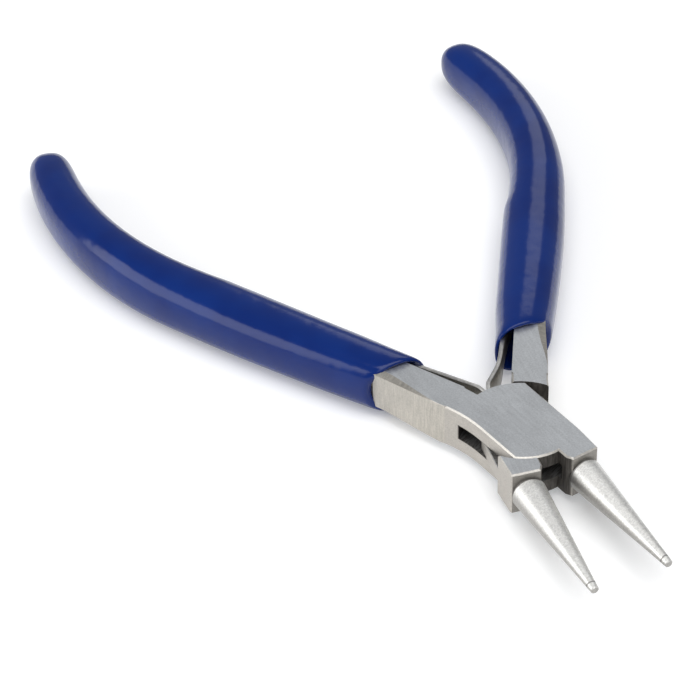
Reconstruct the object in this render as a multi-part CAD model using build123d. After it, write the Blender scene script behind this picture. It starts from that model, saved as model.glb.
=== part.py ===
from build123d import *
import math
import os

os.makedirs("parts", exist_ok=True)

# Round nose pliers with a box joint. Millimetres and degrees.
# Each half is drawn closed, about the pivot at x = 0, y = 0, with the middle plane at z = 0.
# The outer half runs from its handle at -X +Y to its jaw at +X -Y. The inner half is its
# mirror image, except that a thin web takes the place of the two cheeks.
# At rest the springs hold the tool open, so each half is turned by rest_half_angle.
# The finished frame has the pivot axis on +Z, the jaws along -Y, and its origin on the
# underside of the lower cheek.

rest_half_angle = 8.86

# Head of the box joint
head_thickness = 6.75
head_half_width = 5.3
front_arc_radius = 7.75
rear_arc_radius = 8.15
arc_gap = 0.15
slot_height = 2.3
slot_radius = 8.55
web_side_gap = 0.05
web_radius = 5.36
web_neck_edge = 1.3
web_jaw_edge = 0.5
head_edge_chamfer = 0.22
crease_reach = 1.5

# Jaw block and cone
jaw_front = 10.3
jaw_front_half_width = 4.95
jaw_corner_chamfer = 0.2
crotch_edge = 0.35
crotch_depth = 9.4
crotch_corner = 0.85
cone_length = 20.0
cone_base_radius = 2.42
cone_tip_radius = 0.54
cone_base_offset = 2.6
cone_tip_gap = 0.14
cone_neck_radius = 2.1
cone_neck_length = 0.25
cone_root_depth = 1.0
cone_base_chamfer = 0.15
cone_tip_chamfer = 0.12

# Pivot rivet
rivet_radius = 2.25
rivet_head_radius = 2.65
rivet_head_depth = 0.5
rivet_running_gap = 0.03

# Handle: a straight stretch from the grip's mouth, then one long bend
mouth_x = -7.3
mouth_y = 18.8
handle_tilt = 20.9
handle_straight = 38.75
handle_bend_radius = 60.0
handle_root_x = 1.5
handle_waist_y = 1.9
handle_waist_flare = 0.15

# Exposed handle: flat inside, bevelled more and more along its outer side towards the grip.
# Each section gives the place along the handle, the outer side, and the upper bevel's width and drop.
handle_inner = 1.8
neck_sections = [(-10.0, -3.2, 0.2, 0.2), (-6.0, -3.05, 0.75, 0.3), (-3.0, -2.85, 1.9, 0.55),
                 (0.0, -2.65, 2.7, 0.75), (5.0, -2.6, 2.75, 0.75)]
lower_bevel_share = 0.4
mouth_shift = 1.2
mouth_slope = 0.5

# Tang: the part of the handle that the grip covers
tang_inner = 1.7
tang_outer = -2.3
tang_thickness = 5.0
tang_end_margin = 5.0

# Leaf spring and its rivet
leaf_thickness = 0.6
leaf_width = 4.5
leaf_seat_gap = 0.08
leaf_lift_start = 11.0
leaf_base_end = 23.0
leaf_mouth_place = -1.0
leaf_mouth_offset = 3.33
leaf_bow_share = 0.62
leaf_tip_length = 0.95
leaf_tip_gap = 0.05
leaf_contact_x = -0.5
leaf_pocket_gap = 0.12
leaf_pocket_start = -3.0
spring_rivet_place = 18.5
spring_rivet_radius = 0.8
spring_rivet_depth = 2.6
spring_rivet_head_radius = 1.5
spring_rivet_head_height = 0.45
spring_rivet_gap = 0.06

# Dipped grip: place along the handle, half width, half height, shift towards the inner side
grip_end = 83.4
grip_mouth_section = (-4.0, 3.75, 4.2, 0.55)
grip_body_sections = [(12.0, 4.15, 4.35, 0.0), (26.7, 4.55, 4.4, -0.4), (40.0, 4.3, 4.6, -0.4),
                      (53.4, 3.95, 4.8, -0.35), (68.0, 3.8, 4.5, -0.15), (77.0, 3.65, 4.2, 0.0)]
grip_corner_share = 0.62
grip_dome = 3.6

half_head = head_thickness / 2
web_thickness = slot_height - 2 * web_side_gap


def along(place, offset):
    """Point at a distance along the handle's centre line, shifted towards its inner side."""
    tilt = math.radians(handle_tilt)
    if place <= handle_straight:
        x = mouth_x - place * math.sin(tilt)
        y = mouth_y + place * math.cos(tilt)
        heading = tilt
    else:
        heading = tilt - (place - handle_straight) / handle_bend_radius
        centre_x = mouth_x - handle_straight * math.sin(tilt) + handle_bend_radius * math.cos(tilt)
        centre_y = mouth_y + handle_straight * math.cos(tilt) + handle_bend_radius * math.sin(tilt)
        x = centre_x - handle_bend_radius * math.cos(heading)
        y = centre_y - handle_bend_radius * math.sin(heading)
    return (x + offset * math.cos(heading), y + offset * math.sin(heading))


def heading_at(place):
    """Unit direction of the handle's centre line, away from the head."""
    turned = max(0.0, place - handle_straight) / handle_bend_radius
    heading = math.radians(handle_tilt) - turned
    return (-math.sin(heading), math.cos(heading), 0)


def inward_at(place):
    """Unit direction across the handle, towards its inner side."""
    ahead = heading_at(place)
    return (ahead[1], -ahead[0], 0)


def on_circle(radius, x, side):
    """Point of a circle about the pivot at a given x, on the +Y or the -Y side."""
    return (x, side * math.sqrt(radius ** 2 - x ** 2))


def at_angle(radius, degrees):
    return (radius * math.cos(math.radians(degrees)), radius * math.sin(math.radians(degrees)))


def arc_about_pivot(radius, start, end):
    """Arc about the pivot between two of its points, the short way round."""
    first = math.degrees(math.atan2(start[1], start[0]))
    last = math.degrees(math.atan2(end[1], end[0]))
    return ThreePointArc(start, at_angle(radius, (first + last) / 2), end)


def slab(face, thickness):
    """Solid of a flat outline, centred on the middle plane."""
    return extrude(face, thickness / 2, both=True)


def head_outline():
    """Outline of the outer half's cheeks, handle root and jaw block."""
    front_left = on_circle(front_arc_radius, -head_half_width, -1)
    waist = (-head_half_width - handle_waist_flare, handle_waist_y)
    crease, crease_outer = neck_sections[0][:2]
    crease_side = along(crease, crease_outer)
    crease_inside = along(crease, handle_inner)
    root = on_circle(rear_arc_radius, -handle_root_x, 1)
    rear_right = on_circle(rear_arc_radius, head_half_width, 1)
    shoulder_right = (head_half_width, front_left[1])
    jaw_side = (jaw_front_half_width, -jaw_front + jaw_corner_chamfer)
    jaw_corner = (jaw_front_half_width - jaw_corner_chamfer, -jaw_front)
    crotch_start = on_circle(front_arc_radius, crotch_edge, -1)
    crotch_side = (crotch_edge, -crotch_depth)
    crotch_end = (crotch_corner, -jaw_front)
    up_side = (waist[0] - front_left[0], waist[1] - front_left[1])
    outer_side = Spline(waist, crease_side, tangents=[up_side, heading_at(0)[:2]])
    edges = [
        Line(front_left, waist),
        outer_side,
        Line(crease_side, crease_inside),
        Line(crease_inside, root),
        arc_about_pivot(rear_arc_radius, root, rear_right),
        Line(rear_right, shoulder_right),
        Line(shoulder_right, jaw_side),
        Line(jaw_side, jaw_corner),
        Line(jaw_corner, crotch_end),
        Line(crotch_end, crotch_side),
        Line(crotch_side, crotch_start),
        arc_about_pivot(front_arc_radius, crotch_start, front_left),
    ]
    return make_face(edges)


def mouth_plane():
    """Slanted plane where the steel enters the grip, facing the grip's end."""
    outer = Vector(*along(mouth_shift + mouth_slope, -1), 0)
    inner = Vector(*along(mouth_shift - mouth_slope, 1), 0)
    across = (inner - outer).normalized()
    return Plane(origin=(outer + inner) / 2, x_dir=across, z_dir=Vector(-across.Y, across.X, 0))


def before_mouth(height):
    """Block on the head's side of the mouth plane."""
    reach = 4 * head_thickness
    return mouth_plane() * Box(reach, height, reach, align=(Align.CENTER, Align.CENTER, Align.MAX))


def neck():
    """Exposed handle between the head and the grip's mouth."""
    sections = []
    for place, outer, width, drop in neck_sections:
        plane = Plane(origin=(*along(place, 0), 0), x_dir=inward_at(0), z_dir=heading_at(0))
        outline = Polyline(
            (handle_inner, -half_head),
            (handle_inner, half_head),
            (outer + width, half_head),
            (outer, half_head - drop),
            (outer, -half_head + drop * lower_bevel_share),
            (outer + width * lower_bevel_share, -half_head),
            close=True,
        )
        sections.append(plane * make_face(outline))
    return loft(sections) & before_mouth(head_thickness)


def tang():
    """Part of the handle that the grip covers."""
    last = grip_end - tang_end_margin
    middle = (tang_inner + tang_outer) / 2
    edges = [
        Line(along(0, tang_outer), along(handle_straight, tang_outer)),
        ThreePointArc(along(handle_straight, tang_outer),
                      along((handle_straight + last) / 2, tang_outer),
                      along(last, tang_outer)),
        ThreePointArc(along(last, tang_outer),
                      along(last + (tang_inner - tang_outer) / 2, middle),
                      along(last, tang_inner)),
        ThreePointArc(along(last, tang_inner),
                      along((handle_straight + last) / 2, tang_inner),
                      along(handle_straight, tang_inner)),
        Line(along(handle_straight, tang_inner), along(0, tang_inner)),
        Line(along(0, tang_inner), along(0, tang_outer)),
    ]
    return slab(make_face(edges), tang_thickness) - before_mouth(head_thickness)


def cone():
    """Round jaw: a turned neck, a long cone and a flat tip."""
    base = Vector(cone_base_offset, -jaw_front, 0)
    tip = Vector(cone_tip_radius + cone_tip_gap, -jaw_front - cone_length, 0)
    axis = (tip - base).normalized()
    length = (tip - base).length - cone_neck_length
    seat = Plane(origin=base - axis * cone_root_depth, z_dir=axis)
    neck_reach = cone_neck_length + 2 * cone_root_depth
    neck = seat * Cylinder(cone_neck_radius, neck_reach, align=(Align.CENTER, Align.CENTER, Align.MIN))
    start = Plane(origin=base + axis * cone_neck_length, z_dir=axis)
    body = Cone(cone_base_radius, cone_tip_radius, length, align=(Align.CENTER, Align.CENTER, Align.MIN))
    body = chamfer(body.edges().group_by(Axis.Z)[0], cone_base_chamfer)
    body = chamfer(body.edges().group_by(Axis.Z)[-1], cone_tip_chamfer)
    return neck + start * body


def blank_half():
    """Full-thickness half before its joint is cut, with the tang and the cone."""
    head = slab(head_outline(), head_thickness)
    crease_x, crease_y = along(neck_sections[0][0], 0)
    flat_edges = head.edges().filter_by(Axis.Z, reverse=True)
    rims = flat_edges.filter_by(
        lambda edge: math.dist((edge.center().X, edge.center().Y), (crease_x, crease_y)) > crease_reach)
    head = chamfer(rims, head_edge_chamfer)
    return head + neck() + tang() + cone()


def spring_rivet():
    """Rivet that holds the leaf spring's base to the handle's inner side."""
    inward = Vector(inward_at(spring_rivet_place))
    foot = Vector(*along(spring_rivet_place, tang_inner - spring_rivet_depth), 0)
    under_head = spring_rivet_depth + leaf_seat_gap + leaf_thickness + spring_rivet_gap
    seat = Plane(origin=foot, z_dir=inward)
    centre_up = (Align.CENTER, Align.CENTER, Align.MIN)
    shank = Cylinder(spring_rivet_radius, under_head, align=centre_up)
    head = Pos(0, 0, under_head) * Cylinder(spring_rivet_head_radius, spring_rivet_head_height, align=centre_up)
    head = chamfer(head.edges().group_by(Axis.Z)[-1], spring_rivet_head_height / 3)
    return seat * (shank + head)


def outer_half():
    """Left handle, two cheeks with the slot between them, and the right jaw."""
    slot = Cylinder(slot_radius, slot_height)
    return blank_half() - slot - pivot_rivet() - spring_rivet()


def web_outline():
    """Thin middle of the inner half, drawn before it is mirrored."""
    shoulder = rear_arc_radius + 2 * arc_gap
    front = front_arc_radius + 2 * arc_gap
    neck = make_face(Polyline((-head_half_width, 0), (-head_half_width, shoulder), (-web_neck_edge, shoulder),
                              (-web_neck_edge, 0), close=True))
    jaw = make_face(Polyline((head_half_width, 0), (head_half_width, -front), (web_jaw_edge, -front),
                             (web_jaw_edge, 0), close=True))
    return Circle(web_radius) + neck + jaw


def inner_half():
    """Right handle, thin web through the slot, and the left jaw."""
    blank = blank_half()
    reach = 4 * head_half_width
    upper = Pos(0, reach / 2, 0) * Box(reach, reach, head_thickness)
    lower = Pos(0, -reach / 2, 0) * Box(reach, reach, head_thickness)
    rear_pocket = Cylinder(rear_arc_radius + arc_gap, head_thickness) & upper
    front_pocket = Cylinder(front_arc_radius + arc_gap, head_thickness) & lower
    web = slab(web_outline(), web_thickness) & slab(head_outline(), web_thickness)
    ends = blank - rear_pocket - front_pocket
    bore = Cylinder(rivet_radius + rivet_running_gap, head_thickness)
    return ends + web - bore - spring_rivet()


def pivot_rivet():
    """Rivet through both cheeks, spread into countersinks and ground flush."""
    shank = Cylinder(rivet_radius, head_thickness)
    flare = Cone(rivet_radius, rivet_head_radius, rivet_head_depth,
                 align=(Align.CENTER, Align.CENTER, Align.MAX))
    upper = Pos(0, 0, half_head) * flare
    return shank + upper + mirror(upper, about=Plane.XY)


def leaf_path(contact_x):
    """Centre line of the leaf spring: flat on the handle, then bowed to where the two tips meet."""
    seat = tang_inner + leaf_seat_gap + leaf_thickness / 2
    tip_x = contact_x - leaf_tip_gap - leaf_thickness / 2
    tip_y = rear_arc_radius + leaf_tip_length
    tilt = math.radians(rest_half_angle)
    tip = (tip_x * math.cos(tilt) + tip_y * math.sin(tilt), -tip_x * math.sin(tilt) + tip_y * math.cos(tilt))
    lift = along(leaf_lift_start, seat)
    mouth = along(leaf_mouth_place, leaf_mouth_offset)
    knee = (tip[0] - leaf_thickness / 3, tip[1] + 2 * leaf_thickness)
    middle = (mouth[0] + (knee[0] - mouth[0]) * leaf_bow_share,
              mouth[1] + (knee[1] - mouth[1]) * leaf_bow_share)
    ahead = heading_at(0)
    base = Line(along(leaf_base_end, seat), lift)
    bow = Spline(lift, mouth, middle, knee, tip, tangents=[(-ahead[0], -ahead[1]), (0, -1)])
    return base + bow


def leaf_spring(contact_x):
    """Strip of spring steel on edge, with a hole for its rivet."""
    strip = slab(trace(leaf_path(contact_x), leaf_thickness), leaf_width)
    hole_foot = Vector(*along(spring_rivet_place, 0), 0)
    hole = Plane(origin=hole_foot, z_dir=Vector(inward_at(spring_rivet_place)))
    hole *= Cylinder(spring_rivet_radius + spring_rivet_gap, 2 * head_thickness)
    return strip - hole


def leaf_pocket():
    """Space in the grip for the leaf and its travel towards the handle."""
    seat_top = tang_inner + leaf_seat_gap + leaf_thickness + leaf_pocket_gap
    mouth_top = leaf_mouth_offset + leaf_thickness / 2 + 2 * leaf_pocket_gap
    outline = Polyline(
        along(leaf_pocket_start, tang_inner - leaf_pocket_gap),
        along(leaf_base_end + leaf_pocket_gap, tang_inner - leaf_pocket_gap),
        along(leaf_base_end + leaf_pocket_gap, seat_top),
        along(leaf_lift_start, seat_top),
        along(leaf_pocket_start, mouth_top),
        close=True,
    )
    return slab(make_face(outline), leaf_width + 2 * leaf_pocket_gap)


def grip():
    """Dipped plastic sleeve with a rounded, closed end."""
    tail = grip_body_sections[-1]
    dome_start = grip_end - grip_dome
    stations = [grip_mouth_section] + grip_body_sections
    stations += [(dome_start + grip_dome * math.sin(math.radians(angle)),
                  tail[1] * math.cos(math.radians(angle)),
                  tail[2] * math.cos(math.radians(angle)), tail[3]) for angle in (0, 35, 60, 80)]
    sections = []
    for place, half_width, half_height, shift in stations:
        plane = Plane(origin=(*along(place, shift), 0), x_dir=inward_at(place), z_dir=heading_at(place))
        corner = grip_corner_share * half_width
        sections.append(plane * RectangleRounded(2 * half_width, 2 * half_height, corner))
    body = loft(sections) - before_mouth(2 * head_thickness)
    return body - tang() - leaf_pocket() - spring_rivet()


def at_rest(shape, side):
    """Turn a closed shape to its rest place and stand the frame on the lower cheek."""
    return Pos(0, 0, half_head) * Rot(0, 0, side * rest_half_angle) * shape


def mirrored(shape):
    return mirror(shape, about=Plane.YZ)


nodes = {
    "outer_half": at_rest(outer_half(), 1),
    "inner_half": at_rest(mirrored(inner_half()), -1),
    "pivot_rivet": at_rest(pivot_rivet(), 1),
    "left_grip": at_rest(grip(), 1),
    "right_grip": at_rest(mirrored(grip()), -1),
    "left_leaf_spring": at_rest(leaf_spring(leaf_contact_x), 1),
    "right_leaf_spring": at_rest(mirrored(leaf_spring(-leaf_contact_x)), -1),
    "left_spring_rivet": at_rest(spring_rivet(), 1),
    "right_spring_rivet": at_rest(mirrored(spring_rivet()), -1),
}

for name, shape in nodes.items():
    export_step(shape, "parts/" + name + ".step")
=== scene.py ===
import math

import bpy
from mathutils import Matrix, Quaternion, Vector


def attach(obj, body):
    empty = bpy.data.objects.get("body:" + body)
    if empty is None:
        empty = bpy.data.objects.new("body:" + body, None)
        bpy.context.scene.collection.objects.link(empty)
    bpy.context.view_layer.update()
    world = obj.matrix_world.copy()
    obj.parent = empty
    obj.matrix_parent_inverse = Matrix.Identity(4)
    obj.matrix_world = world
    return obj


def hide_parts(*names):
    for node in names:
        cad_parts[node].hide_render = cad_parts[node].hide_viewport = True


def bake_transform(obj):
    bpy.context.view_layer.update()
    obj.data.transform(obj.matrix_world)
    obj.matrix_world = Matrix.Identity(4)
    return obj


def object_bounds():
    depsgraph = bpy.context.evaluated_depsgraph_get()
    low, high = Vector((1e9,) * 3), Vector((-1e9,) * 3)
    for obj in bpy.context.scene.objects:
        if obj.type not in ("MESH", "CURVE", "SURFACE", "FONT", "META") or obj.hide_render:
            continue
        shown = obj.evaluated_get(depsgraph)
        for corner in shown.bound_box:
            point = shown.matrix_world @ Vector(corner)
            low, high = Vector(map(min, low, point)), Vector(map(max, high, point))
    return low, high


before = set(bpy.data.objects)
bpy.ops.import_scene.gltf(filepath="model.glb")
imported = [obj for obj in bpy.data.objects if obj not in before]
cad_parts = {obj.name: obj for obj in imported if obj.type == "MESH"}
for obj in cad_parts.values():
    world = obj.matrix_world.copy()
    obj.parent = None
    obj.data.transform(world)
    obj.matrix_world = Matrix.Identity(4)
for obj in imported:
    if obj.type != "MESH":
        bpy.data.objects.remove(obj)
cad_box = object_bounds()
bpy.ops.object.select_all(action="DESELECT")

# The two forged halves. Each is one drop-forged tool-steel blank with its handle, cheek or web
# and round jaw, ground flat on top and cross-ground along the handle; its joint carries dark scale
# and painted shade.
# They keep their imported shape; the finish is laid out in each half's own closed position.
mm = 0.001
middle_height = 3.375
rest_turn = math.radians(8.86)
handle_tilt = math.radians(20.9)
mouth_closed = Vector((-7.3, 18.8, 0.0))
top_steel = (0.60, 0.615, 0.63, 1)
flank_steel = (0.455, 0.43, 0.395, 1)
bevel_steel = (0.60, 0.575, 0.53, 1)
neck_steel = (0.475, 0.45, 0.405, 1)
# The jaws are one steel, with a painted shade on their undersides so that their lower edges show on
# a pale table.
jaw_steel = (0.86, 0.85, 0.82, 1)
jaw_painted_shade_steel = (0.40, 0.39, 0.37, 1)
# Colour of the dark scale and painted shade in the joint.
joint_scale_and_shade = (0.035, 0.030, 0.026, 1)
# Where each finish starts and is full: by how level the surface lies, then by place in millimetres.
top_level = (0.975, 0.992)
flank_level = (0.50, 0.25)
# Range of facing over which the jaws' painted shade gives way to their own steel.
jaw_top_level = (0.10, 0.72)
jaw_edge = (-10.25, -10.45)
neck_edge = (-10.1, -9.85)
# Belt marks along the tool, across the handle and round the jaws.
along_spacing = (2.6, 0.22, 2.6)
across_spacing = (0.7, 4.2, 0.32)
round_spacing = (1.1, 6.5, 1.1)
body_streak, neck_streak, jaw_streak = 0.35, 0.8, 0.16
body_grain, jaw_grain = 0.60, 1.0
body_cloud = 0.22
body_rough, top_rough, jaw_rough = 0.45, 0.46, 0.50
streak_rough = 0.22
speckle_relief = 0.22
grind_depth = 0.00003
# Dark scale and painted shade lie together on the arc walls, in the slot and in the crotch; the
# undercut groove at each jaw's root gets painted shade, and the tip ring a darker band.
arc_facing, arc_reach, arc_soft = (0.93, 0.97), (7.55, 8.75), 0.05
slot_half_height, slot_soft, slot_reach = 1.22, 0.03, (8.75, 8.6)
web_side = (5.22, 5.14)
crotch_across, crotch_soft, crotch_level = (0.1, 0.75), 0.12, (0.9, 0.5)
crotch_along, crotch_end_soft = (-10.15, -7.6), 0.1
undercut_along, undercut_soft, undercut_dark = (-10.72, -10.3), 0.05, 0.7
tip_ring_along, tip_ring_soft, tip_ring_dark = (-29.35, -29.15), 0.06, 0.75
scale_and_shade_patches = (0.55, 1.25)
scale_rough, scale_metal = 0.62, 0.45


def at_rest(closed, side):
    """Place of a closed left-hand point once the springs have opened the tool, in millimetres.
    Side is 1 for the left handle and -1 for its mirror image on the right."""
    cos, sin = math.cos(rest_turn), math.sin(rest_turn)
    x = closed[0] * cos - closed[1] * sin
    y = closed[0] * sin + closed[1] * cos
    return Vector((side * x, y, middle_height))


def add_node(tree, kind, inputs=None, **settings):
    """Shader node with its settings, and with each input linked or set."""
    made = tree.nodes.new(kind)
    for name, value in settings.items():
        setattr(made, name, value)
    for key, value in (inputs or {}).items():
        if isinstance(value, bpy.types.NodeSocket):
            tree.links.new(value, made.inputs[key])
        else:
            made.inputs[key].default_value = value
    return made


def maths(tree, operation, *values):
    return add_node(tree, "ShaderNodeMath", dict(enumerate(values)), operation=operation).outputs[0]


def rising(tree, value, low, high):
    """0 below low, 1 above high, smooth between. Low may be the larger, for a falling mask."""
    made = add_node(tree, "ShaderNodeMapRange", {0: value, 1: low, 2: high},
                    interpolation_type="SMOOTHSTEP")
    return made.outputs[0]


def within(tree, value, low, high, soft):
    """1 between low and high, fading out over a soft edge."""
    return maths(tree, "MULTIPLY", rising(tree, value, low - soft, low + soft),
                 rising(tree, value, high + soft, high - soft))


def mix_colour(tree, factor, first, second):
    made = add_node(tree, "ShaderNodeMix", {0: factor, 6: first, 7: second}, data_type="RGBA")
    return made.outputs[2]


def mix_value(tree, factor, first, second):
    return add_node(tree, "ShaderNodeMix", {0: factor, 2: first, 3: second}).outputs[0]


def swing(tree, mark, amount):
    """Rise and fall of a mark about its middle, scaled."""
    return maths(tree, "MULTIPLY", maths(tree, "SUBTRACT", mark, 0.5), amount)


def placed(tree, origin, turn):
    """Object position in millimetres, seen from a turned place on the piece."""
    seen = tree.nodes.new("ShaderNodeTexCoord")
    made = add_node(tree, "ShaderNodeMapping", {"Vector": seen.outputs["Object"]},
                    vector_type="TEXTURE")
    made.inputs["Location"].default_value = [value * mm for value in origin]
    made.inputs["Rotation"].default_value = (0, 0, turn)
    made.inputs["Scale"].default_value = (mm, mm, mm)
    return made.outputs[0]


def new_material(name):
    """New material with its node tree and its Principled shader."""
    material = bpy.data.materials.new(name)
    material.use_nodes = True
    tree = material.node_tree
    return material, tree, tree.nodes["Principled BSDF"]


def emboss(tree, shader, height, strength, depth):
    """Relief on the shader's normal."""
    bump = add_node(tree, "ShaderNodeBump", {"Strength": strength, "Distance": depth,
                                             "Height": height})
    tree.links.new(bump.outputs[0], shader.inputs["Normal"])


def grinding_group():
    """Scratches from a belt or wheel, with a fine speckle and broad cloudy blotches."""
    tree = bpy.data.node_groups.new("grinding_marks", "ShaderNodeTree")
    tree.interface.new_socket("Position", in_out="INPUT", socket_type="NodeSocketVector")
    tree.interface.new_socket("Spacing", in_out="INPUT", socket_type="NodeSocketVector")
    for name in ("Scratches", "Speckle", "Blotches"):
        tree.interface.new_socket(name, in_out="OUTPUT", socket_type="NodeSocketFloat")
    start = tree.nodes.new("NodeGroupInput")
    end = tree.nodes.new("NodeGroupOutput")
    stretched = add_node(tree, "ShaderNodeVectorMath", {0: start.outputs[0], 1: start.outputs[1]},
                         operation="MULTIPLY")
    scratches = add_node(tree, "ShaderNodeTexNoise", {"Vector": stretched.outputs[0], "Scale": 1.0,
                                                      "Detail": 4.0, "Roughness": 0.62})
    speckle = add_node(tree, "ShaderNodeTexNoise", {"Vector": start.outputs[0], "Scale": 4.2,
                                                    "Detail": 3.0, "Roughness": 0.7})
    blotches = add_node(tree, "ShaderNodeTexNoise", {"Vector": start.outputs[0], "Scale": 0.22,
                                                     "Detail": 2.0, "Roughness": 0.5})
    for index, texture in enumerate((scratches, speckle, blotches)):
        tree.links.new(texture.outputs[0], end.inputs[index])
    return tree


grinding = grinding_group()


def ground(tree, position, spacing):
    """Scratches, speckle and blotches at a position, with their spacing on each axis."""
    return add_node(tree, "ShaderNodeGroup", {0: position, 1: spacing}, node_tree=grinding).outputs


def forged_steel(name, side):
    """Steel of one half. Side is 1 for the left handle's half and -1 for the right handle's."""
    material, tree, shader = new_material(name)
    half = placed(tree, (0, 0, middle_height), side * rest_turn)
    handle = placed(tree, at_rest(mouth_closed, side), side * (rest_turn + handle_tilt))
    seen = tree.nodes.new("ShaderNodeTexCoord")
    facing = add_node(tree, "ShaderNodeSeparateXYZ", {0: seen.outputs["Normal"]}).outputs[2]
    upright = maths(tree, "ABSOLUTE", facing)
    flat = rising(tree, upright, *top_level)
    flank = rising(tree, upright, *flank_level)
    half_x, half_y, half_z = add_node(tree, "ShaderNodeSeparateXYZ", {0: half}).outputs
    place = add_node(tree, "ShaderNodeSeparateXYZ", {0: handle}).outputs[1]
    jaw = rising(tree, half_y, *jaw_edge)
    neck = rising(tree, place, *neck_edge)

    fine = ground(tree, half, along_spacing)
    crossed = ground(tree, handle, across_spacing)
    turned = ground(tree, half, round_spacing)
    neck_side = maths(tree, "MULTIPLY", neck, maths(tree, "SUBTRACT", 1.0, flat))
    marks = mix_value(tree, jaw, mix_value(tree, neck_side, fine[0], crossed[0]), turned[0])

    colour = mix_colour(tree, flat, mix_colour(tree, flank, bevel_steel, flank_steel), top_steel)
    colour = mix_colour(tree, neck_side, colour, neck_steel)
    # Painted shade: the jaws darken where their surface faces down.
    jaw_tone_with_painted_shade = mix_colour(tree, rising(tree, facing, *jaw_top_level), jaw_painted_shade_steel, jaw_steel)
    colour = mix_colour(tree, jaw, colour, jaw_tone_with_painted_shade)
    depth = mix_value(tree, jaw, mix_value(tree, neck_side, body_streak, neck_streak), jaw_streak)
    streak = swing(tree, marks, depth)
    grain = swing(tree, fine[1], mix_value(tree, jaw, body_grain, jaw_grain))
    cloud = swing(tree, fine[2], body_cloud)
    shade = maths(tree, "ADD", maths(tree, "ADD", 1.0, streak), maths(tree, "ADD", grain, cloud))
    lit = add_node(tree, "ShaderNodeVectorMath", {0: colour, 1: shade}, operation="MULTIPLY")

    reach = add_node(tree, "ShaderNodeCombineXYZ", {0: half_x, 1: half_y}).outputs[0]
    radius = add_node(tree, "ShaderNodeVectorMath", {0: reach}, operation="LENGTH").outputs[1]
    outward = add_node(tree, "ShaderNodeVectorMath", {0: reach}, operation="NORMALIZE").outputs[0]
    turn_back = add_node(tree, "ShaderNodeVectorRotate",
                         {"Vector": seen.outputs["Normal"], "Angle": -side * rest_turn},
                         rotation_type="Z_AXIS")
    straight = add_node(tree, "ShaderNodeVectorMath", {0: outward, 1: turn_back.outputs[0]},
                        operation="DOT_PRODUCT").outputs[1]
    arc = rising(tree, maths(tree, "ABSOLUTE", straight), *arc_facing)
    arc = maths(tree, "MULTIPLY", arc, within(tree, radius, *arc_reach, arc_soft))
    slot = maths(tree, "MULTIPLY",
                 within(tree, half_z, -slot_half_height, slot_half_height, slot_soft),
                 rising(tree, radius, *slot_reach))
    if side < 0:
        web_flank = rising(tree, maths(tree, "ABSOLUTE", half_x), *web_side)
        slot = maths(tree, "MULTIPLY", slot, web_flank)
    inboard = maths(tree, "MULTIPLY", half_x, side)
    crotch = maths(tree, "MULTIPLY", within(tree, inboard, *crotch_across, crotch_soft),
                   within(tree, half_y, *crotch_along, crotch_end_soft))
    crotch = maths(tree, "MULTIPLY", crotch, rising(tree, upright, *crotch_level))
    # Painted shade in the undercut groove at each jaw's root.
    undercut = maths(tree, "MULTIPLY", within(tree, half_y, *undercut_along, undercut_soft),
                     undercut_dark)
    ring = maths(tree, "MULTIPLY", within(tree, half_y, *tip_ring_along, tip_ring_soft),
                 tip_ring_dark)
    # Scale and painted shade on the arc walls, in the slot and in the crotch, painted shade in the
    # undercut groove, and a darker band at the tip ring.
    dark = arc
    for mask in (slot, crotch, undercut, ring):
        dark = maths(tree, "MAXIMUM", dark, mask)
    scale_and_shade = maths(tree, "MULTIPLY", dark, mix_value(tree, crossed[0], *scale_and_shade_patches))
    scale_and_shade = maths(tree, "MINIMUM", scale_and_shade, 1.0)
    tree.links.new(mix_colour(tree, scale_and_shade, lit.outputs[0], joint_scale_and_shade),
                   shader.inputs["Base Color"])

    polish = mix_value(tree, jaw, mix_value(tree, flat, body_rough, top_rough), jaw_rough)
    rough = maths(tree, "ADD", polish, swing(tree, marks, streak_rough))
    tree.links.new(mix_value(tree, scale_and_shade, rough, scale_rough), shader.inputs["Roughness"])
    tree.links.new(mix_value(tree, scale_and_shade, 1.0, scale_metal), shader.inputs["Metallic"])
    relief = maths(tree, "ADD", maths(tree, "MULTIPLY", marks, depth),
                   maths(tree, "MULTIPLY", fine[1], speckle_relief))
    emboss(tree, shader, relief, 0.5, grind_depth)
    return material


def finish_node(name, material):
    """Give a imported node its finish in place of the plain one."""
    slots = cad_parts[name].data.materials
    slots.clear()
    slots.append(material)


finish_node("outer_half", forged_steel("forged_steel_outer", 1))
finish_node("inner_half", forged_steel("forged_steel_inner", -1))

# The pivot rivet is a steel pin spread into both cheeks and ground flush with them, so it carries
# the same grain. The two small rivets hold the leaf springs and stay under the grips.
rivet_tone = (0.59, 0.605, 0.62)


def plain_steel(tree, shader, marks, tone, streaks, grains, rough, rough_swing):
    """Bare steel of one tone, varied by its scratches and speckle."""
    streak = swing(tree, marks[0], streaks)
    grain = swing(tree, marks[1], grains)
    shade = maths(tree, "ADD", 1.0, maths(tree, "ADD", streak, grain))
    lit = add_node(tree, "ShaderNodeVectorMath", {0: tone, 1: shade}, operation="MULTIPLY")
    tree.links.new(lit.outputs[0], shader.inputs["Base Color"])
    rough = maths(tree, "ADD", rough, maths(tree, "MULTIPLY", streak, rough_swing))
    tree.links.new(rough, shader.inputs["Roughness"])
    shader.inputs["Metallic"].default_value = 1.0


def rivet_steel():
    material, tree, shader = new_material("rivet_steel_finish")
    marks = ground(tree, placed(tree, (0, 0, middle_height), rest_turn), along_spacing)
    plain_steel(tree, shader, marks, rivet_tone, streaks=0.35, grains=0.42, rough=0.46,
                rough_swing=0.5)
    emboss(tree, shader, marks[0], 0.5, grind_depth)
    return material


rivet_finish = rivet_steel()
for rivet in ("pivot_rivet", "left_spring_rivet", "right_spring_rivet"):
    finish_node(rivet, rivet_finish)

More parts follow.
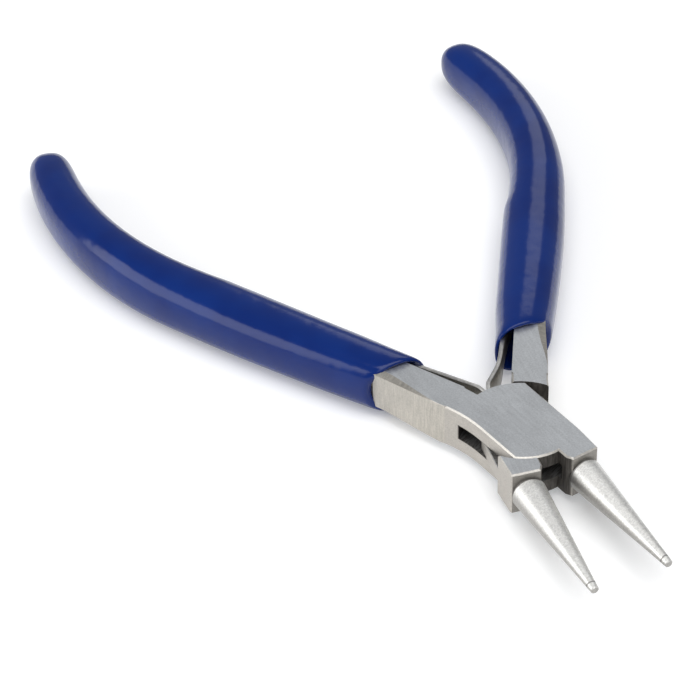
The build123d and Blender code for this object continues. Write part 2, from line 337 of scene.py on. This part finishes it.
# The two leaf springs are strips of bare spring steel on edge. Each lies flat on its handle under
# the grip, lifts off at the end of its seat and bows to where the two tips press together.
leaf_light = (0.66, 0.65, 0.62, 1)
leaf_dark = (0.48, 0.47, 0.455, 1)
leaf_spacing = (1.6, 0.5, 3.4)
leaf_relief = 0.00002
leaf_thickness = 0.6
leaf_width = 4.5
tang_inner = 1.7
leaf_gap = 0.08
leaf_seat = tang_inner + leaf_gap + leaf_thickness / 2
leaf_places = (23.0, 17.0, 11.0)
leaf_bow = ((-3.832, 19.054), (-1.232, 13.640))
leaf_knee_shift = (0.2, 1.2)
near_knee = 0.72
leaf_tip_y = 9.1
leaf_tips = {"left": -0.85, "right": -0.15}
leaf_rings = 52
leaf_edge = 0.07
leaf_tip_rings = 2
leaf_tip_taper = (0.97, 0.94)


def on_handle(place, offset):
    """Closed left-hand point at a place along the straight part of the handle, in millimetres."""
    ahead = Vector((-math.sin(handle_tilt), math.cos(handle_tilt), 0))
    inward = Vector((math.cos(handle_tilt), math.sin(handle_tilt), 0))
    return mouth_closed + ahead * place + inward * offset


def curve_through(points, reaches=None):
    """Flat curve through points in millimetres, with smooth handles or with the handles given."""
    bpy.ops.object.select_all(action="DESELECT")
    bpy.ops.curve.primitive_bezier_curve_add(location=(0, 0, 0))
    route = bpy.context.object
    route.data.dimensions = "2D"
    route.data.resolution_u = 64
    spline = route.data.splines[0]
    spline.bezier_points.add(len(points) - 2)
    for knot, point in zip(spline.bezier_points, points):
        knot.co = (point[0] * mm, point[1] * mm, 0)
    for knot in spline.bezier_points:
        knot.handle_left_type = knot.handle_right_type = "FREE" if reaches else "AUTO"
    for knot, reach in zip(spline.bezier_points, reaches or ()):
        knot.handle_left = reach[0] * mm
        knot.handle_right = reach[1] * mm
    bpy.context.view_layer.update()
    return route


def lay_along(piece, route):
    """Bend a straight piece, modelled along +X, onto its curve, and drop the curve."""
    bend = piece.modifiers.new("route", "CURVE")
    bend.object = route
    bend.deform_axis = "POS_X"
    bpy.context.view_layer.objects.active = piece
    bpy.ops.object.modifier_apply(modifier=bend.name)
    bpy.data.objects.remove(route)


def start_piece(name):
    """Name the primitive just added and keep its place in its mesh."""
    piece = bpy.context.object
    piece.name = piece.data.name = name
    bpy.ops.object.transform_apply(location=True, rotation=True, scale=True)
    return piece


def close_and_smooth(piece, angle):
    """Merge doubles, turn the faces outwards and smooth all but the sharp edges."""
    bpy.ops.object.select_all(action="DESELECT")
    bpy.context.view_layer.objects.active = piece
    piece.select_set(True)
    bpy.ops.object.mode_set(mode="EDIT")
    bpy.ops.mesh.select_all(action="SELECT")
    bpy.ops.mesh.remove_doubles(threshold=1e-6)
    bpy.ops.mesh.normals_make_consistent(inside=False)
    bpy.ops.object.mode_set(mode="OBJECT")
    bpy.ops.object.shade_smooth_by_angle(angle=math.radians(angle))


def spring_steel():
    material, tree, shader = new_material("spring_steel_finish")
    marks = ground(tree, placed(tree, (0, 0, middle_height), 0.0), leaf_spacing)
    mottle = mix_colour(tree, rising(tree, marks[2], 0.35, 0.65), leaf_light, leaf_dark)
    plain_steel(tree, shader, marks, mottle, streaks=0.9, grains=0.8, rough=0.38, rough_swing=0.2)
    emboss(tree, shader, marks[1], 0.4, leaf_relief)
    return material


def leaf_route(hand):
    """Points of one leaf's middle line at rest, from its base to its tip."""
    mirror = -1 if hand == "right" else 1
    closed = [on_handle(place, leaf_seat) for place in leaf_places]
    closed += [Vector((*point, 0)) for point in leaf_bow]
    route = [at_rest(point, 1) for point in closed]
    cos, sin = math.cos(rest_turn), math.sin(rest_turn)
    tip = Vector((leaf_tips[hand] * mirror, leaf_tip_y, 0))
    knee = Vector((-leaf_knee_shift[0] * cos - leaf_knee_shift[1] * sin,
                   -leaf_knee_shift[0] * sin + leaf_knee_shift[1] * cos, 0))
    route += [route[-1].lerp(tip + knee, near_knee), tip + knee, tip]
    return [Vector((mirror * point.x, point.y, 0)) for point in route]


def leaf_spring(hand, material):
    """One leaf: a small rounded face extruded ring by ring, then laid along its line."""
    route = leaf_route(hand)
    curve = curve_through(route)
    length = curve.data.splines[0].calc_length() / mm
    middle = (0, 0, middle_height * mm)
    bpy.ops.object.select_all(action="DESELECT")
    bpy.ops.mesh.primitive_plane_add(size=mm, rotation=(0, math.pi / 2, 0), location=middle)
    piece = start_piece(hand + "_leaf")
    bpy.ops.object.mode_set(mode="EDIT")
    bpy.ops.mesh.select_all(action="SELECT")
    bpy.ops.transform.resize(value=(1, leaf_thickness, leaf_width), center_override=middle)
    bpy.ops.mesh.bevel(offset=leaf_edge * mm, segments=2, affect="VERTICES")
    step = length / leaf_rings
    for ring in range(leaf_rings):
        bpy.ops.mesh.extrude_region_move(TRANSFORM_OT_translate={"value": (step * mm, 0, 0)})
        if ring >= leaf_rings - leaf_tip_rings:
            bpy.ops.transform.resize(value=(1, *leaf_tip_taper),
                                     center_override=((ring + 1) * step * mm, 0, middle[2]))
    bpy.ops.object.mode_set(mode="OBJECT")
    lay_along(piece, curve)
    close_and_smooth(piece, 35)
    piece.data.materials.append(material)
    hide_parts(hand + "_leaf_spring")
    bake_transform(piece)


leaf_finish = spring_steel()
for hand in ("left", "right"):
    leaf_spring(hand, leaf_finish)

# The grips are sleeves of soft vinyl, dipped hot over the handle and the leaf's base. The dip
# closes in a round end, swells over the leaf and stops in a slanted, rolled lip.
vinyl_navy = (0.0006, 0.0200, 0.150, 1)
vinyl_deep = (0.0003, 0.0140, 0.120, 1)
vinyl_rough = (0.13, 0.19)
pore_dullness = 0.06
pore_relief = 0.10
peel_depth = 0.00016
grip_lead = 12.0
grip_far = 86.0
handle_straight = 38.75
bend_radius = 60.0
mouth_place = 0.35
mouth_slope = 0.5
corner_share = 0.80
# Each ring: place, half width, half height, shift to the inner side, share of the mouth's slant.
grip_rings = [
    (8.0, 2.90, 3.10, 0.66, 1.0), (1.6, 2.94, 3.14, 0.66, 1.0), (0.75, 3.04, 3.24, 0.65, 1.0),
    (0.22, 3.32, 3.54, 0.60, 1.0), (0.0, 3.60, 3.84, 0.55, 1.0), (0.10, 3.87, 4.10, 0.51, 1.0),
    (0.5, 4.02, 4.25, 0.50, 1.0), (1.4, 4.06, 4.30, 0.46, 0.92), (4.0, 4.12, 4.32, 0.34, 0.68),
    (8.0, 4.18, 4.34, 0.16, 0.32), (12.0, 4.24, 4.36, 0.0, 0.0), (19.0, 4.42, 4.38, -0.18, 0.0),
    (26.0, 4.55, 4.42, -0.34, 0.0), (31.0, 4.50, 4.48, -0.36, 0.0), (33.0, 4.48, 4.50, -0.37, 0.0),
    (35.0, 4.42, 4.54, -0.38, 0.0), (38.0, 4.36, 4.58, -0.40, 0.0), (44.0, 4.20, 4.68, -0.40, 0.0),
    (50.0, 4.02, 4.74, -0.37, 0.0), (56.0, 3.92, 4.74, -0.32, 0.0), (62.0, 3.86, 4.64, -0.24, 0.0),
    (68.0, 3.80, 4.50, -0.15, 0.0), (73.0, 3.74, 4.36, -0.07, 0.0), (76.6, 3.66, 4.16, 0.0, 0.0),
    (79.2, 3.46, 3.86, 0.0, 0.0), (81.1, 3.02, 3.30, 0.0, 0.0), (82.4, 2.28, 2.44, 0.0, 0.0),
    (83.15, 1.36, 1.44, 0.0, 0.0), (83.4, 0.5, 0.53, 0.0, 0.0),
]
# The swell over the leaf: its height, where it starts and ends, and how it fades.
leaf_swell = 0.46
swell_start = 5.0
leaf_swell_end = 34.2
swell_end_sharpness = 3.2
swell_from, swell_full = 1.0, 3.0
swell_half_height = 4.2
# The mouth's outer edge is drawn back in a shallow curve, which dies out along the sleeve.
mouth_scoop = 1.0
scoop_from, scoop_full = 1.5, 1.5
scoop_half_height = 3.9
scoop_start, scoop_fade = 2.0, 4.0


def grip_vinyl():
    material, tree, shader = new_material("grip_vinyl_finish")
    position = placed(tree, (0, 0, middle_height), 0.0)
    broad = add_node(tree, "ShaderNodeTexNoise", {"Vector": position, "Scale": 0.09, "Detail": 2.0})
    peel = add_node(tree, "ShaderNodeTexNoise", {"Vector": position, "Scale": 0.42, "Detail": 1.5,
                                                 "Roughness": 0.45})
    pores = add_node(tree, "ShaderNodeTexNoise", {"Vector": position, "Scale": 3.4, "Detail": 2.0})
    colour = mix_colour(tree, rising(tree, broad.outputs[0], 0.35, 0.65), vinyl_deep, vinyl_navy)
    tree.links.new(colour, shader.inputs["Base Color"])
    rough = mix_value(tree, broad.outputs[0], *vinyl_rough)
    dull = maths(tree, "MULTIPLY", rising(tree, pores.outputs[0], 0.55, 0.8), pore_dullness)
    tree.links.new(maths(tree, "ADD", rough, dull), shader.inputs["Roughness"])
    shader.inputs["IOR"].default_value = 1.45
    shader.inputs["Specular IOR Level"].default_value = 0.36
    relief = maths(tree, "ADD", peel.outputs[0],
                   maths(tree, "MULTIPLY", pores.outputs[0], pore_relief))
    emboss(tree, shader, relief, 0.35, peel_depth)
    return material


def grip_route():
    """Knots and curve handles of the handle's middle line at rest: straight, then one long bend."""
    tilt = handle_tilt + rest_turn
    start = at_rest(on_handle(-grip_lead, 0), 1).to_2d().to_3d()
    turn_in = at_rest(on_handle(handle_straight, 0), 1).to_2d().to_3d()
    ahead = Vector((-math.sin(tilt), math.cos(tilt), 0))
    centre = turn_in + Vector((math.cos(tilt), math.sin(tilt), 0)) * bend_radius
    swept = (grip_far - handle_straight) / bend_radius
    left = tilt - swept
    finish = centre - Vector((math.cos(left), math.sin(left), 0)) * bend_radius
    ahead_end = Vector((-math.sin(left), math.cos(left), 0))
    run = (grip_lead + handle_straight) / 3
    pull = 4 / 3 * math.tan(swept / 4) * bend_radius
    knots = [start, turn_in, finish]
    reaches = [(start - ahead * run, start + ahead * run),
               (turn_in - ahead * run, turn_in + ahead * pull),
               (finish - ahead_end * pull, finish + ahead_end * pull)]
    return knots, reaches


def swell_and_scoop(piece):
    """Raise the sleeve's inner side over the leaf and draw back the outer edge of its mouth."""
    for vertex in piece.data.vertices:
        here = vertex.co.x / mm - grip_lead
        height = abs(vertex.co.z / mm - middle_height)
        inner = max(0.0, -vertex.co.y / mm - swell_from) / swell_full
        width_share = max(0.0, 1 - (height / swell_half_height) ** 4)
        fade = 1 / (1 + math.exp((here - leaf_swell_end) * swell_end_sharpness))
        if here > swell_start:
            vertex.co.y -= leaf_swell * min(1.0, inner) * width_share * fade * mm
        outer = min(1.0, max(0.0, vertex.co.y / mm - scoop_from) / scoop_full)
        middle_share = max(0.0, 1 - (height / scoop_half_height) ** 2)
        dying = math.exp(-max(0.0, here - scoop_start) / scoop_fade)
        vertex.co.x += mouth_scoop * outer * middle_share * dying * mm


def dipped_grip(material):
    """The left sleeve: one face extruded from inside the lip, round it and to the closed end."""
    bpy.ops.object.select_all(action="DESELECT")
    bpy.ops.mesh.primitive_plane_add(size=2 * mm, rotation=(0, math.pi / 2, 0), location=(0, 0, 0))
    piece = start_piece("left_sleeve")
    bpy.ops.object.mode_set(mode="EDIT")
    bpy.ops.mesh.select_all(action="SELECT")
    bpy.ops.mesh.bevel(offset=corner_share * mm, segments=4, affect="VERTICES")
    place, width, tall, shift, turned = 0.0, 1.0, 1.0, 0.0, 0.0
    for number, (new_place, new_width, new_tall, new_shift, slant) in enumerate(grip_rings):
        at = new_place + grip_lead + (mouth_place - mouth_slope * new_shift) * slant
        lift = middle_height if number == 0 else 0
        move = ((at - place) * mm, (shift - new_shift) * mm, lift * mm)
        if number == 0:
            bpy.ops.transform.translate(value=move)
        else:
            bpy.ops.mesh.extrude_region_move(TRANSFORM_OT_translate={"value": move})
        centre = (at * mm, -new_shift * mm, middle_height * mm)
        turn = math.atan(mouth_slope * slant)
        new_width = new_width / math.cos(turn)
        bpy.ops.transform.rotate(value=-turned, orient_axis="Z", center_override=centre)
        bpy.ops.transform.resize(value=(1, new_width / width, new_tall / tall),
                                 center_override=centre)
        bpy.ops.transform.rotate(value=turn, orient_axis="Z", center_override=centre)
        place, width, tall, shift, turned = at, new_width, new_tall, new_shift, turn
    bpy.ops.object.mode_set(mode="OBJECT")
    swell_and_scoop(piece)
    rounding = piece.modifiers.new("rounding", "SUBSURF")
    rounding.levels = rounding.render_levels = 2
    bpy.context.view_layer.objects.active = piece
    bpy.ops.object.modifier_apply(modifier=rounding.name)
    lay_along(piece, curve_through(*grip_route()))
    close_and_smooth(piece, 75)
    piece.data.materials.append(material)
    return piece


def other_sleeve(piece):
    """The right sleeve: a mirrored copy with its own mesh, turned the right way out again."""
    bpy.ops.object.select_all(action="DESELECT")
    piece.select_set(True)
    bpy.context.view_layer.objects.active = piece
    bpy.ops.object.duplicate(linked=False)
    copy = bpy.context.object
    copy.name = copy.data.name = "right_sleeve"
    bpy.ops.object.mode_set(mode="EDIT")
    bpy.ops.mesh.select_all(action="SELECT")
    bpy.ops.transform.mirror(constraint_axis=(True, False, False), center_override=(0, 0, 0))
    bpy.ops.mesh.normals_make_consistent(inside=False)
    bpy.ops.object.mode_set(mode="OBJECT")
    return copy


left_sleeve = dipped_grip(grip_vinyl())
right_sleeve = other_sleeve(left_sleeve)
for sleeve, node_name, body in ((left_sleeve, "left_grip", "outer_half"),
                                (right_sleeve, "right_grip", "inner_half")):
    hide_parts(node_name)
    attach(sleeve, body)

# The studio is a wide pale table, a pale room and large soft boxes: one overhead, one low at the
# left, one behind at the right and a weak one by the camera. None of it belongs to the tool.
table_size = 6.0
floor_tone = (0.93, 0.93, 0.93, 1)
table_glow = 0.14
room_tone = (0.93, 0.95, 0.98, 1)
room_strength = 0.32
focus = Vector((-12.57, 28.16, middle_height)) * mm
camera_place = Vector((-111.8, -205.1, 202.6)) * mm
camera_roll = math.radians(-2.314)
camera_lens = 116.53
# Each soft box: name, direction from the tool, distance, width, height, strength.
soft_boxes = [
    ("overhead_box", (0.0, -0.28, 1.0), 0.80, 0.85, 0.70, 5.0),
    ("left_box", (-0.95, 0.24, 0.36), 0.75, 0.60, 0.48, 2.6),
    ("rear_right_box", (0.50, 0.72, 0.50), 0.80, 0.22, 0.26, 0.22),
    ("front_box", (-0.30, -0.85, 0.70), 0.90, 0.7, 0.4, 1.2),
]

bpy.ops.object.select_all(action="DESELECT")
bpy.ops.mesh.primitive_plane_add(size=table_size, location=(0, 0, cad_box[0].z))
table = start_piece("table_top")
table_material, _, table_shader = new_material("pale_table")
table_shader.inputs["Base Color"].default_value = floor_tone
table_shader.inputs["Roughness"].default_value = 0.9
table_shader.inputs["Specular IOR Level"].default_value = 0.0
table_shader.inputs["Emission Color"].default_value = (1, 1, 1, 1)
table_shader.inputs["Emission Strength"].default_value = table_glow
table.data.materials.append(table_material)

room = bpy.data.worlds.new("pale_room")
room.use_nodes = True
room.node_tree.nodes["Background"].inputs["Color"].default_value = room_tone
room.node_tree.nodes["Background"].inputs["Strength"].default_value = room_strength
bpy.context.scene.world = room

for name, direction, distance, wide, high, strength in soft_boxes:
    place = focus + Vector(direction).normalized() * distance
    bpy.ops.object.light_add(type="AREA", location=place)
    box = bpy.context.object
    box.name = name
    box.data.shape = "RECTANGLE"
    box.data.size = wide
    box.data.size_y = high
    box.data.energy = strength
    box.rotation_euler = Vector(direction).to_track_quat("Z", "Y").to_euler()

bpy.ops.object.camera_add(location=camera_place)
camera = bpy.context.object
camera.data.lens = camera_lens
camera.data.sensor_width = 36.0
camera.data.dof.use_dof = False
camera.rotation_mode = "QUATERNION"
aimed = (camera_place - focus).to_track_quat("Z", "Y")
camera.rotation_quaternion = aimed @ Quaternion((0, 0, 1), camera_roll)
bpy.context.scene.camera = camera
bpy.context.scene.view_settings.view_transform = "Standard"
